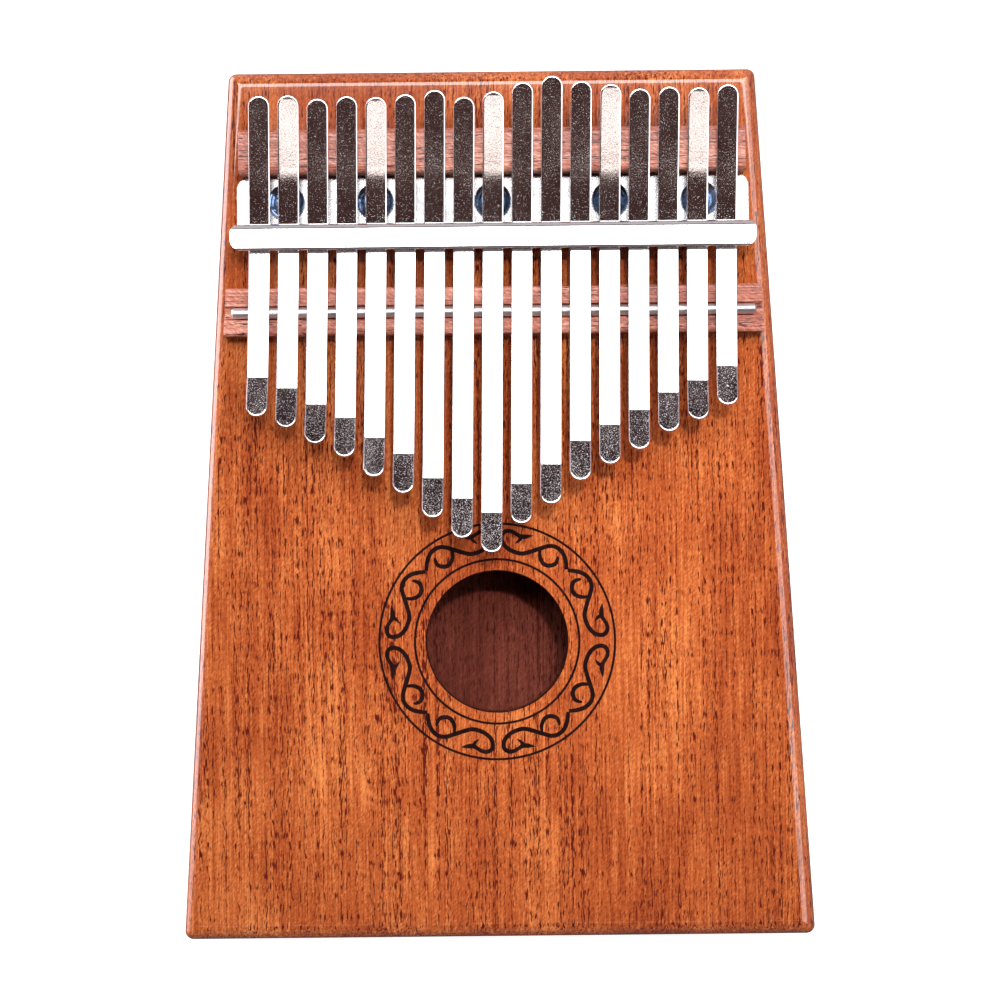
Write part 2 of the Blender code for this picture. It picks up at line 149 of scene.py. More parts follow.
# Tines
TINE_COUNT = 17
TINE_PITCH = 6.15 * MM
TINE_WIDTH = 4.4 * MM
TINE_THICKNESS = 0.95 * MM
TINE_SKEW = radians(-0.8)
TINE_PRESS = 1.4 * MM
TIP_LENGTH = 8.3 * MM
TIP_UPTURN = radians(14)
STEEP_TINES = (2, 5, 9, 13, 16)  # those over the screws, with their tails bent up a little more
STEEPER = radians(2.5)
CHAMFER_TILT = radians(21)
CHAMFER_WIDTH = 0.14 * MM
CHAMFER_INSET = 0.23 * MM  # where the chamfer meets the face
CHAMFER_SOFTENING = 0.12 * MM
CREASE_SECTIONS = tuple(offset * MM for offset in (-0.3, -0.12, 0, 0.12, 0.3))  # round a tip's bend
STRAIGHT_SPACING = 3 * MM
STRAIGHT_END = -2 * MM  # the last section before the rod lies no nearer than this
BACK_EDGE_RADIUS = 0.3 * MM
BAR_DISTANCE = BRACKET_WALL_Y - ROD_Y
REST_DISTANCE = BACK_BRIDGE_LOW.y + BRIDGE_ROUNDING - ROD_Y
BACK_SPAN = REST_DISTANCE - BAR_DISTANCE
REED_SLOPE = TINE_PRESS * (REST_DISTANCE**2 - BACK_SPAN**2) / (2 * BACK_SPAN * BAR_DISTANCE**2)
TAIL_SLOPE = TINE_PRESS * (REST_DISTANCE**2 - BAR_DISTANCE**2) / (2 * BAR_DISTANCE * BACK_SPAN**2)

# Rosette
ROSETTE_RADII = (17.5 * MM, 25.1 * MM)
ROSETTE_LINE = 0.25 * MM  # half the width of a ring's line
ROSETTE_PROUD = 0.018 * MM
ROSETTE_STEP = 0.1 * ROSETTE_PROUD  # each kind of stroke lies this much lower than the one before
ROSETTE_QUARTERS = 4

# Colours, in linear light
LACQUER_DARK = (0.18, 0.021, 0.005)
LACQUER_MIDDLE = (0.40, 0.085, 0.020)
LACQUER_LIGHT = (0.72, 0.24, 0.068)
LACQUER_PORE = (0.085, 0.007, 0.003)
# Raw wood of the hollow: duller than the lacquer, and darkened further with painted shade for the inside
# of the body
RAW_AND_SHADE_DARK = (0.065, 0.012, 0.008)
RAW_AND_SHADE_MIDDLE = (0.125, 0.027, 0.016)
RAW_AND_SHADE_LIGHT = (0.22, 0.055, 0.035)
RAW_AND_SHADE_PORE = (0.05, 0.009, 0.006)
BRIDGE_DARK = (0.16, 0.045, 0.038)
BRIDGE_MIDDLE = (0.46, 0.150, 0.098)
BRIDGE_LIGHT = (0.85, 0.44, 0.33)
BRIDGE_PORE = (0.09, 0.022, 0.018)
SOOT = ((0.005, 0.002, 0.002), (0.016, 0.006, 0.005))
CHROME = ((0.84, 0.84, 0.86), (0.93, 0.93, 0.94))
GROUND_STEEL = ((0.86, 0.84, 0.86), (0.94, 0.92, 0.94))
BLUE_ZINC = ((0.06, 0.13, 0.26), (0.30, 0.44, 0.66))
SPRING_STEEL = ((0.78, 0.77, 0.79), (0.93, 0.92, 0.92))
FORGED_STEEL = ((0.36, 0.34, 0.37), (0.92, 0.90, 0.92))
CEILING = (0.042, 0.014, 0.012)
WALLS = (1.0, 0.88, 0.90)
WARM = (1.0, 0.86, 0.80)
WHITE = (1.0, 1.0, 1.0)

# Layers of wood grain: features a metre across it and along it, and how much each layer counts
LAYER_FIELDS = "across along weight detail roughness turned shift"
Layer = namedtuple("Layer", LAYER_FIELDS, defaults=(2.0, 0.5, 0.0, (0, 0, 0)))
TONE_LAYERS = (
    Layer(850, 30, 0.5, 3.0, 0.65),  # streaks
    Layer(2600, 60, 0.65, 1.0, shift=(5, 2, 8)),  # fine lines
    Layer(2600, 1000, 0.85, 2.0, 0.65, radians(32)),  # figure across the grain
    Layer(90, 7, 0.35),  # broad bands
)
PORE_LAYERS = (
    Layer(3800, 450, 1.0, 1.0, shift=(3, 1, 7)),  # single pores
    Layer(1500, 10, 0.6, 1.0, shift=(1, 6, 3)),  # the rows they lie in
    Layer(120, 22, 0.30, shift=(9, 4, 2)),  # where they crowd together
)
CLOUDS = (46, 34, 46)
CLOUDS_WEIGHT = 0.65
TONE_STOPS = (0.14, 0.5, 0.88)
PORE_SOFTNESS = 0.08
PORE_DEPTH = 0.02 * MM

# Metal skin and soot, in features a metre
SMUDGES = (160, 70, 160)
PEEL = (2400,) * 3
PITS = (5000,) * 3
SOOT_PATCHES = (900, 300, 900)

# Camera and lights
CAMERA_PLACE = (0.90 * MM, 0.81 * MM)
CAMERA_HEIGHT = 620 * MM  # above the face
CAMERA_TURN = radians(-0.58)
PICTURE_SIDE = 213 * MM  # what the picture spans, at the height of the face
SENSOR = 36.0
LIGHT_HEIGHT = 3.0  # above the face
BEAM_PLACE = (0.25, 0.6)
BEAM_AIM = (20 * MM, 12 * MM)
BEAM_SIZE = radians(4.2)
BEAM_POWER = 360
BEAM_SOFTNESS = 0.09
WALL_RADIANCE = 5.0
FLOOR_HALF_SIZE = 4.0
SURROUND_RADIUS = 5.0


# ---------------------------------------------------------------- mesh helpers


def add_loft(bm, rings, material_index=0):
    """Adds a closed body through rings of the same number of points, with a flat face at each end."""
    loops = [[bm.verts.new(point) for point in ring] for ring in rings]
    faces = []
    for low, high in zip(loops, loops[1:]):
        for i, corner in enumerate(low):
            j = (i + 1) % len(low)
            faces.append(bm.faces.new((corner, low[j], high[j], high[i])))
    faces.append(bm.faces.new(loops[0]))
    faces.append(bm.faces.new(loops[-1]))
    for face in faces:
        face.material_index = material_index
    return faces


def loft(rings, material_index=0):
    """A new mesh that holds one loft."""
    bm = bmesh.new()
    add_loft(bm, rings, material_index)
    return bm


def add_object(name, bm, materials=()):
    """Turns a mesh under construction into a named object, with its faces turned outwards."""
    bmesh.ops.recalc_face_normals(bm, faces=bm.faces)
    mesh = bpy.data.meshes.new(name)
    bm.to_mesh(mesh)
    bm.free()
    for material in materials:
        mesh.materials.append(material)
    made = bpy.data.objects.new(name, mesh)
    bpy.context.scene.collection.objects.link(made)
    return made


def carve(piece, cutter_bm, operation="DIFFERENCE"):
    """Applies one Boolean to a piece and throws its cutter away. A face of the cutter keeps its slot."""
    cutter = add_object("cutter", cutter_bm, piece.data.materials)
    boolean = piece.modifiers.new("carve", "BOOLEAN")
    boolean.operation = operation
    boolean.solver = "EXACT"
    boolean.object = cutter
    graph = bpy.context.evaluated_depsgraph_get()
    old = piece.data
    piece.data = bpy.data.meshes.new_from_object(piece.evaluated_get(graph))
    piece.modifiers.clear()
    name = old.name
    bpy.data.meshes.remove(old)
    piece.data.name = name
    bpy.data.objects.remove(cutter, do_unlink=True)


def shade(piece, sharp_degrees=32):
    """Smooth shading that keeps flat faces flat and creases crisp."""
    piece.data.shade_smooth()
    piece.data.set_sharp_from_angle(angle=radians(sharp_degrees))
    weighted = piece.modifiers.new("weighted_normals", "WEIGHTED_NORMAL")
    weighted.keep_sharp = True
    weighted.weight = NORMAL_WEIGHT


def finish_piece(piece, body, slot, *replaced):
    """Attaches a piece to the body it rides on and hides the CAD nodes it stands for. The slot argument is
    not used.
    """
    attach(piece, body)
    if replaced:
        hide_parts(*replaced)


def arc(centre, radius, start, end, segments):
    """Points on an arc between two angles, both ends included."""
    steps = [start + (end - start) * i / segments for i in range(segments + 1)]
    return [(centre[0] + radius * cos(a), centre[1] + radius * sin(a)) for a in steps]


def circle(radius, segments, x=0.0, y=0.0):
    """Points round a circle, counter-clockwise."""
    return arc((x, y), radius, 0, TAU, segments)[:-1]


def rounded_outline(corners, radius, segments=12):
    """A counter-clockwise outline with every corner rounded to the same radius."""
    points = []
    for i, corner in enumerate(corners):
        here = Vector(corner)
        arriving = (here - Vector(corners[i - 1])).normalized()
        leaving = (Vector(corners[(i + 1) % len(corners)]) - here).normalized()
        into = Vector((-arriving.y, arriving.x))
        out_of = Vector((-leaving.y, leaving.x))
        centre = here + (into + out_of) * (radius / (1 + into.dot(out_of)))
        turn = into.angle_signed(out_of)
        for step in range(segments + 1):
            angle = -turn * step / segments
            x = -into.x * cos(angle) + into.y * sin(angle)
            y = -into.x * sin(angle) - into.y * cos(angle)
            points.append((centre.x + radius * x, centre.y + radius * y))
    return points


def at_height(outline, z):
    """A flat outline as points at one height."""
    return [(x, y, z) for x, y in outline]


def along_x(profile, length):
    """A closed body with a constant outline in Y and Z, centred on X = 0."""
    return loft([[(x, y, z) for y, z in profile] for x in (-length / 2, length / 2)])


# ---------------------------------------------------------------- material helpers


def add_node(tree, kind, inputs=None, **settings):
    """One shader node. An input is either a value or the output that feeds it."""
    node = tree.nodes.new(f"ShaderNode{kind}")
    for name, value in settings.items():
        setattr(node, name, value)
    for key, value in (inputs or {}).items():
        if isinstance(value, bpy.types.NodeSocket):
            tree.links.new(value, node.inputs[key])
        else:
            node.inputs[key].default_value = value
    return node


def new_material(name, values):
    """A Principled material and its shader, with constants set on the shader's own sockets."""
    material = bpy.data.materials.new(name)
    material.use_nodes = True
    shader = material.node_tree.nodes["Principled BSDF"]
    for socket, value in values.items():
        shader.inputs[socket].default_value = value
    return material, material.node_tree, shader


def object_coordinates(tree):
    """Places in the piece's own metres, so a pattern moves with it."""
    return add_node(tree, "TexCoord").outputs["Object"]


def noise(tree, vector, per_metre, detail=2.0, roughness=0.5, turned=0.0, shift=(0, 0, 0)):
    """Noise with its own number of features a metre along each axis, turned about Z if need be."""
    if turned:
        turn = add_node(tree, "VectorRotate", {"Vector": vector, "Angle": turned}, rotation_type="Z_AXIS")
        vector = turn.outputs["Vector"]
    mapping = add_node(
        tree, "Mapping", {"Vector": vector, "Scale": per_metre, "Location": shift}, vector_type="POINT"
    )
    settings = {"Vector": mapping.outputs["Vector"], "Scale": 1.0, "Detail": detail}
    settings["Roughness"] = roughness
    return add_node(tree, "TexNoise", settings).outputs["Fac"]


def maths(tree, operation, first, second=0.0):
    """One sum. Each term may be a value or an output."""
    return add_node(tree, "Math", {0: first, 1: second}, operation=operation).outputs[0]


def spread(tree, value, low, high, to_low=0.0, to_high=1.0):
    """Maps low…high to another range, and clamps it."""
    inputs = {"Value": value, "From Min": low, "From Max": high}
    inputs.update({"To Min": to_low, "To Max": to_high})
    return add_node(tree, "MapRange", inputs).outputs["Result"]


def ramp(tree, value, stops):
    """A colour ramp through (position, colour) stops."""
    node = add_node(tree, "ValToRGB", {"Fac": value})
    elements = node.color_ramp.elements
    while len(elements) < len(stops):
        elements.new(1.0)
    for element, (position, colour) in zip(elements, stops):
        element.position = position
        element.color = (*colour, 1)
    return node.outputs["Color"]


def mix(tree, factor, first, second):
    """A blend of two colours. Each may be a value or an output."""
    node = add_node(tree, "Mix", data_type="RGBA")
    for index, value in ((0, factor), (6, first), (7, second)):
        if isinstance(value, bpy.types.NodeSocket):
            tree.links.new(value, node.inputs[index])
        elif index:
            node.inputs[index].default_value = (*value, 1)
        else:
            node.inputs[index].default_value = value
    return node.outputs[2]


def bump(tree, shader, height, distance, strength=1.0):
    """Relief in which a height of 1 stands a distance over a height of 0."""
    node = add_node(tree, "Bump", {"Height": height, "Distance": distance, "Strength": strength})
    tree.links.new(node.outputs["Normal"], shader.inputs["Normal"])


def along_grain(axis, across, along):
    """Features a metre for a grain that runs along X or Y."""
    return (along, across, across) if axis == "X" else (across, along, across)


def weighted(tree, layers, offset=0.5):
    """The sum of noise layers, each centred on 0 and scaled by its weight, over an offset."""
    total = None
    for layer, weight in layers:
        start = offset - weight / 2 if total is None else -weight / 2
        part = add_node(tree, "Math", {0: layer, 1: weight, 2: start}, operation="MULTIPLY_ADD").outputs[0]
        total = part if total is None else maths(tree, "ADD", total, part)
    return total


def grain(tree, place, axis, layers):
    """(noise, weight) of each layer of a grain that runs along X or Y."""
    made = []
    for layer in layers:
        features = along_grain(axis, layer.across, layer.along)
        value = noise(tree, place, features, layer.detail, layer.roughness, layer.turned, layer.shift)
        made.append((value, layer.weight))
    return made


def make_wood(name, tones, pore_colour, values, axis="Y", pore_share=0.58):
    """Straight-grained wood: streaks, a fine figure across them, and short dark pores in rows."""
    material, tree, shader = new_material(name, values)
    place = object_coordinates(tree)
    layers = grain(tree, place, axis, TONE_LAYERS)
    layers.append((noise(tree, place, CLOUDS, 3.0, 0.6), CLOUDS_WEIGHT))
    colour = ramp(tree, weighted(tree, layers), list(zip(TONE_STOPS, tones)))
    spots = weighted(tree, grain(tree, place, axis, PORE_LAYERS))
    pores = spread(tree, spots, pore_share, pore_share + PORE_SOFTNESS)
    colour = mix(tree, pores, colour, pore_colour)
    tree.links.new(colour, shader.inputs["Base Color"])
    bump(tree, shader, maths(tree, "SUBTRACT", 1.0, pores), PORE_DEPTH, 0.6)
    return material


def make_burnt(name):
    """Wood scorched by a cutter: almost black, with a brown cast that comes and goes."""
    values = {"Roughness": 0.8, "Specular IOR Level": 0.05}
    material, tree, shader = new_material(name, values)
    place = object_coordinates(tree)
    soot = noise(tree, place, SOOT_PATCHES, 3.0)
    colour = ramp(tree, soot, [(0.3, SOOT[0]), (0.75, SOOT[1])])
    tree.links.new(colour, shader.inputs["Base Color"])
    bump(tree, shader, soot, 0.02 * MM, 0.5)
    return material


def make_metal(name, tones, roughness, peel_depth, dents=(0.0, 400), pitting=0.0, worn_below=None):
    """Plated metal: an orange-peel skin over shallow dents of a depth and a number to the metre,
    smudges that change its gloss and tone, and duller pits. The pattern is shifted from piece to piece.
    With worn_below, the dents are only below that height, and the metal is a little duller there."""
    material, tree, shader = new_material(name, {"Metallic": 1.0})
    shift = maths(tree, "MULTIPLY", add_node(tree, "ObjectInfo").outputs["Random"], 3.0)
    place = object_coordinates(tree)
    moved = add_node(tree, "VectorMath", {0: place, 1: shift}, operation="ADD").outputs["Vector"]
    smudges = noise(tree, moved, SMUDGES, 3.0, 0.6)
    peel = noise(tree, moved, PEEL, 3.0, 0.65)
    tone = weighted(tree, ((smudges, 0.6), (peel, 0.8)))
    colour = ramp(tree, tone, [(0.3, tones[0]), (0.7, tones[1])])
    tree.links.new(colour, shader.inputs["Base Color"])
    gloss = spread(tree, smudges, 0.3, 0.7, roughness * 0.75, roughness * 1.25)
    pits = spread(tree, noise(tree, moved, PITS, 1.0, shift=(2, 7, 4)), 0.58, 0.73)
    gloss = maths(tree, "ADD", gloss, maths(tree, "MULTIPLY", pits, pitting))
    depth, per_metre = dents
    relief = maths(tree, "MULTIPLY", noise(tree, moved, (per_metre,) * 3), depth / peel_depth)
    if worn_below:
        height = add_node(tree, "SeparateXYZ", {"Vector": place}).outputs["Z"]
        worn = spread(tree, height, worn_below, worn_below - MM)
        relief = maths(tree, "MULTIPLY", relief, worn)
        gloss = maths(tree, "ADD", gloss, maths(tree, "MULTIPLY", worn, 0.10))
    tree.links.new(gloss, shader.inputs["Roughness"])
    bump(tree, shader, maths(tree, "ADD", peel, relief), peel_depth)
    return material


# ---------------------------------------------------------------- wooden pieces


def half_width(y):
    """Half the body's width at a place along its length."""
    taper = (TAIL_WIDTH - HEAD_WIDTH) / 4 / BODY_END
    return (TAIL_WIDTH + HEAD_WIDTH) / 4 - taper * y


def tapered_corners(tail_y, head_y, inset):
    """Corners of a shape with sides parallel to the body's sides, counter-clockwise."""
    tail = half_width(tail_y) - inset
    head = half_width(head_y) - inset
    return [(-tail, tail_y), (tail, tail_y), (head, head_y), (-head, head_y)]


def body_outline(inset):
    """The body's outline, pulled in all round."""
    end = BODY_END - inset
    radius = max(BODY_CORNER_RADIUS - inset, MITRE_RADIUS)
    return rounded_outline(tapered_corners(-end, end, inset), radius)


def rounded_over(radius, z_edge, towards, segments=14):
    """Rings of the body's outline over a rounded edge, from its side to its flat face."""
    rings = []
    for step in range(segments + 1):
        angle = pi / 2 * step / segments
        z = z_edge - towards * radius * (1 - sin(angle))
        rings.append(at_height(body_outline(radius * (1 - cos(angle))), z))
    return rings


def make_body_shell(lacquer, raw_and_shade, burnt):
    """The body: lacquered outside, raw wood darkened with painted shade in its hollow, and scorched at the
    rim of its sound hole.
    """
    rings = [
        at_height(body_outline(SEAM_CHAMFER), SHELL_LOW.z),
        at_height(body_outline(0), SHELL_LOW.z + SEAM_CHAMFER),
    ]
    rings += rounded_over(BODY_EDGE_RADIUS, BODY_TOP, 1)
    shell = add_object("carved_body", loft(rings), (lacquer, raw_and_shade, burnt))
    chamber = rounded_outline(
        tapered_corners(SIDE_WALL - BODY_END, CHAMBER_HEAD_Y, SIDE_WALL), CHAMBER_CORNER_RADIUS
    )
    ceiling = BODY_TOP - TOP_WALL
    carve(shell, loft([at_height(chamber, -PAST), at_height(chamber, ceiling)], RAW_AND_SHADE_INDEX))
    levels = (
        (SOUND_HOLE_RADIUS, ceiling - PAST),
        (SOUND_HOLE_RADIUS, BODY_TOP - SCORCHED_DEPTH),
        (SOUND_HOLE_RADIUS, BODY_TOP - HOLE_CHAMFER),
        (SOUND_HOLE_RADIUS + 2 * HOLE_CHAMFER, BODY_TOP + HOLE_CHAMFER),
    )
    rings = [at_height(circle(r, SOUND_HOLE_SIDES, 0, SOUND_HOLE_Y), z) for r, z in levels]
    hole = bmesh.new()
    faces = add_loft(hole, rings, BURNT_INDEX)
    for face in faces[:SOUND_HOLE_SIDES]:  # up to the scorched part
        face.material_index = RAW_AND_SHADE_INDEX
    carve(shell, hole)
    pilots = bmesh.new()
    depths = (BODY_TOP - PILOT_DEPTH, BODY_TOP + PAST)
    for x, y in screw_places():
        outline = circle(PILOT_RADIUS, 24, x, y)
        add_loft(pilots, [at_height(outline, z) for z in depths], RAW_AND_SHADE_INDEX)
    carve(shell, pilots)
    shade(shell)
    finish_piece(shell, "root", "body_wood", "body_shell")


def make_back_plate(lacquer, raw_and_shade):
    """The flat back, with a rounded edge, raw wood darkened with painted shade inside, and two vibrato
    holes.
    """
    rings = rounded_over(PLATE_EDGE_RADIUS, PLATE_LOW.z, -1)[::-1]
    rings.append(at_height(body_outline(0), PLATE_HIGH.z - SEAM_CHAMFER))
    rings.append(at_height(body_outline(SEAM_CHAMFER), PLATE_HIGH.z))
    bm = bmesh.new()
    faces = add_loft(bm, rings)
    faces[-1].material_index = RAW_AND_SHADE_INDEX
    plate = add_object("backboard", bm, (lacquer, raw_and_shade))
    holes = bmesh.new()
    for side in (-1, 1):
        outline = circle(VIBRATO_HOLE_RADIUS, 64, side * VIBRATO_HOLE_X, VIBRATO_HOLE_Y)
        add_loft(holes, [at_height(outline, -PAST), at_height(outline, PLATE_HIGH.z + PAST)], RAW_AND_SHADE_INDEX)
    carve(plate, holes)
    shade(plate)
    finish_piece(plate, "root", "body_wood", "back_plate")


def bridge_profile(low, high, rounding):
    """A bridge seen from its end, as (y, z) points, with its upper edges rounded."""
    points = [(low.y, low.z), (high.y, low.z)]
    points += arc((high.y - rounding, high.z - rounding), rounding, 0, pi / 2, 10)
    return points + arc((low.y + rounding, high.z - rounding), rounding, pi / 2, pi, 10)


def break_edges(piece, width, degrees=50):
    """Takes the sharpness off every edge that turns more than some degrees."""
    edges = piece.modifiers.new("broken_edges", "BEVEL")
    edges.width = width
    edges.segments = 2
    edges.limit_method = "ANGLE"
    edges.angle_limit = radians(degrees)


def make_bridges(wood):
    """The reed bridge's ends run parallel to the body's sides, and a groove along it holds the rod."""
    profile = bridge_profile(BACK_BRIDGE_LOW, BACK_BRIDGE_HIGH, BRIDGE_ROUNDING)
    back = add_object("tail_bridge", along_x(profile, 2 * BACK_BRIDGE_HIGH.x), (wood,))
    profile = bridge_profile(FRONT_BRIDGE_LOW, FRONT_BRIDGE_HIGH, BRIDGE_ROUNDING / 2)
    ends = [[(side * (half_width(y) - FRONT_BRIDGE_INSET), y, z) for y, z in profile] for side in (-1, 1)]
    front = add_object("reed_bridge", loft(ends), (wood,))
    groove = arc((ROD_Y, ROD_Z), ROD_GROOVE_RADIUS, pi, TAU, 24)
    over = ROD_Z + 2 * PAST
    mouth = [(ROD_Y + ROD_GROOVE_RADIUS, over), (ROD_Y - ROD_GROOVE_RADIUS, over)]
    carve(front, along_x(groove + mouth, 2 * TAIL_WIDTH))
    for piece, node in ((back, "back_bridge"), (front, "front_bridge")):
        break_edges(piece, BRIDGE_BROKEN_EDGE)
        shade(piece)
        finish_piece(piece, "root", "bridge_wood", node)


# ---------------------------------------------------------------- metal pieces


def make_rod(steel):
    """A ground rod with its end edges broken."""
    stations = (
        (ROD_LOW.x, ROD_RADIUS - ROD_CHAMFER),
        (ROD_LOW.x + ROD_CHAMFER, ROD_RADIUS),
        (ROD_HIGH.x - ROD_CHAMFER, ROD_RADIUS),
        (ROD_HIGH.x, ROD_RADIUS - ROD_CHAMFER),
    )
    rings = [[(x, y, z) for y, z in circle(r, 48, ROD_Y, ROD_Z)] for x, r in stations]
    rod = add_object("ground_rod", loft(rings), (steel,))
    shade(rod)
    finish_piece(rod, "root", "rod_steel", "bridge_rod")


def bracket_profile():
    """The bent plate seen from its end, as (y, z) points."""
    low = BRACKET_LOW.z
    floor = low + PLATE_METAL
    top = BRACKET_TOP
    under_lip = top - PLATE_METAL
    back_face = BRACKET_WALL_Y + PLATE_METAL / 2
    front_face = BRACKET_WALL_Y - PLATE_METAL / 2
    foot = BRACKET_FOOT_RADIUS
    nose = LIP_NOSE_RADIUS
    inner = LIP_INNER_RADIUS
    back_y = BRACKET_HIGH.y
    break_edge = 0.2 * MM
    points = [(back_y, low + break_edge), (back_y, floor - break_edge), (back_y - break_edge, floor)]
    points += arc((back_face + foot, floor + foot), foot, 1.5 * pi, pi, 8)
    points += arc((front_face, under_lip), PLATE_METAL, 0, pi / 2, 16)
    points += arc((BRACKET_LOW.y + nose, top - nose), nose, pi / 2, pi, 8)
    points += arc((BRACKET_LOW.y + nose, under_lip + nose), nose, pi, 1.5 * pi, 8)
    points += arc((front_face - inner, under_lip - inner), inner, pi / 2, 0, 4)
    points += arc((back_face, floor), PLATE_METAL, pi, 1.5 * pi, 12)
    points.append((back_y - break_edge, low))
    return [(y, z + LIP_RISE * max(0, front_face - y)) for y, z in points]


def bracket_plan():
    """The bracket seen from above: a lip a little longer than the base, with rounded corners."""
    radius = BRACKET_CORNER_RADIUS
    lip = BRACKET_HIGH.x
    base = BRACKET_BASE_LENGTH / 2
    step_y = BRACKET_WALL_Y - PLATE_METAL / 2
    right = arc((lip - radius, BRACKET_LOW.y + radius), radius, -pi / 2, 0, 12)
    right += [(lip, step_y), (base, step_y + PLATE_METAL)]
    right += arc((base - radius, BRACKET_HIGH.y - radius), radius, 0, pi / 2, 12)
    return right + [(-x, y) for x, y in reversed(right)]


def make_bracket(chrome):
    """The bent plate, cut to its plan, with a slot for each tine and a hole for each screw."""
    length = 2 * BRACKET_HIGH.x + PAST
    bracket = add_object("clamp_bracket", along_x(bracket_profile(), length), (chrome,))
    outline = bracket_plan()
    span = (BODY_TOP - PAST, BRACKET_HIGH.z + PAST)
    carve(bracket, loft([at_height(outline, z) for z in span]), "INTERSECT")
    openings = bmesh.new()
    for number in range(1, TINE_COUNT + 1):
        x = tine_x(number)
        half = SLOT_WIDTH / 2
        near, far = BRACKET_WALL_Y - PLATE_METAL, BRACKET_WALL_Y + PLATE_METAL
        corners = [(x - half, near), (x + half, near), (x + half, far), (x - half, far)]
        add_loft(openings, [at_height(corners, SLOT_LOW_Z), at_height(corners, SLOT_HIGH_Z)])
    depths = (BODY_TOP - PAST, BODY_TOP + 3 * MM)
    for x, y in screw_places():
        outline = circle(SCREW_HOLE_RADIUS, 32, x, y)
        add_loft(openings, [at_height(outline, z) for z in depths])
    carve(bracket, openings)
    break_edges(bracket, BRACKET_BROKEN_EDGE)
    shade(bracket, 40)
    finish_piece(bracket, "root", "bracket_chrome", "pressure_bracket")


def screw_places():
    """(x, y) of each screw's axis, from its box."""
    places = []
    for number in range(1, SCREW_COUNT + 1):
        low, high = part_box(f"bracket_screw_{number}")
        places.append(((low.x + high.x) / 2, (low.y + high.y) / 2))
    return places


def screw_profile():
    """(radius, height) up a pan-head screw, from its point; height 0 is under the head."""
    low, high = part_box("bracket_screw_1")
    length = high.z - low.z - SCREW_HEAD_HEIGHT
    height = SCREW_POINT_LENGTH - length
    profile = [(SCREW_POINT_RADII[0], -length), (SCREW_POINT_RADII[1], height)]
    while height < -2 * THREAD_PITCH:
        profile.append((THREAD_ROOT_RADIUS, height + 0.25 * THREAD_PITCH))
        profile.append((SCREW_SHANK_RADIUS, height + 0.5 * THREAD_PITCH))
        profile.append((THREAD_ROOT_RADIUS, height + 0.75 * THREAD_PITCH))
        height += THREAD_PITCH
    profile += [(SCREW_NECK_RADIUS, height + 0.5 * THREAD_PITCH), (SCREW_NECK_RADIUS, 0)]
    profile += [(SCREW_HEAD_RADIUS - SCREW_HEAD_EDGE, 0), (SCREW_HEAD_RADIUS, SCREW_HEAD_EDGE)]
    steps = 14
    for step in range(steps + 1):
        angle = SCREW_DOME * step / steps
        lift = (SCREW_HEAD_HEIGHT - SCREW_RIM) * sin(angle) / sin(SCREW_DOME)
        profile.append((SCREW_HEAD_RADIUS * cos(angle) ** SCREW_DOME_POWER, SCREW_RIM + lift))
    return profile


def recess_outline(scale, angle):
    """The cross of a Phillips recess."""
    reach = RECESS_REACH * scale
    half = RECESS_WIDTH / 2 * scale
    points = []
    for quarter in range(4):
        turn = angle + quarter * pi / 2
        for x, y in ((reach, -half), (reach, half), (half, half)):
            points.append((x * cos(turn) - y * sin(turn), x * sin(turn) + y * cos(turn)))
    return points


def make_screws(zinc):
    """The screws, each with its cross turned another way."""
    for number, (x, y) in enumerate(screw_places(), 1):
        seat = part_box(f"bracket_screw_{number}")[1].z - SCREW_HEAD_HEIGHT
        rings = [at_height(circle(r, 48), z) for r, z in screw_profile()]
        screw = add_object(f"pan_head_screw_{number}", loft(rings), (zinc,))
        angle = RECESS_FIRST_TURN + RECESS_NEXT_TURN * number
        floor = at_height(recess_outline(RECESS_FLOOR_SCALE, angle), SCREW_HEAD_HEIGHT - RECESS_DEPTH)
        mouth = at_height(recess_outline(1, angle), RECESS_MOUTH)
        carve(screw, loft([floor, mouth]))
        screw.location = (x, y, seat)
        shade(screw, 40)
        finish_piece(screw, "root", "screw_zinc", f"bracket_screw_{number}")


# ---------------------------------------------------------------- tines


def tine_x(number):
    """Where a tine crosses the bracket's wall, numbered from 1 at the left."""
    return (number - (TINE_COUNT + 1) / 2) * TINE_PITCH


def pressed_down(distance):
    """How far the strip's middle lies under its height over the bridges: a beam bent at one point."""
    span = REST_DISTANCE
    if distance <= BAR_DISTANCE:
        rise = distance * (span**2 - BACK_SPAN**2 - distance**2)
        return TINE_PRESS * rise / (2 * BACK_SPAN * BAR_DISTANCE**2)
    left = span - distance
    rise = left * (span**2 - BAR_DISTANCE**2 - left**2)
    return TINE_PRESS * rise / (2 * BAR_DISTANCE * BACK_SPAN**2)


def strip_height(along, tip_along, steeper):
    """Height of a strip's middle over the rod's. Along is positive towards the head end."""
    if along >= 0:
        past_rest = max(0, along - REST_DISTANCE)
        share = min(max(0, (along - BAR_DISTANCE) / BACK_SPAN), 1)  # of the way from bar to bridge
        bent = tan(steeper) * (BACK_SPAN * (share**3 - share**2) + past_rest)
        return bent + (past_rest * TAIL_SLOPE if past_rest else -pressed_down(along))
    crease = tip_along + TIP_LENGTH
    past = max(0, crease - along)
    return (-along - past) * REED_SLOPE + past * tan(atan(REED_SLOPE) + TIP_UPTURN)


def strip_slope(along, tip_along, steeper):
    """A strip's slope, as an angle, from its heights on either side."""
    step = 0.02 * MM
    rise = strip_height(along + step, tip_along, steeper)
    rise -= strip_height(along - step, tip_along, steeper)
    return atan(rise / (2 * step))


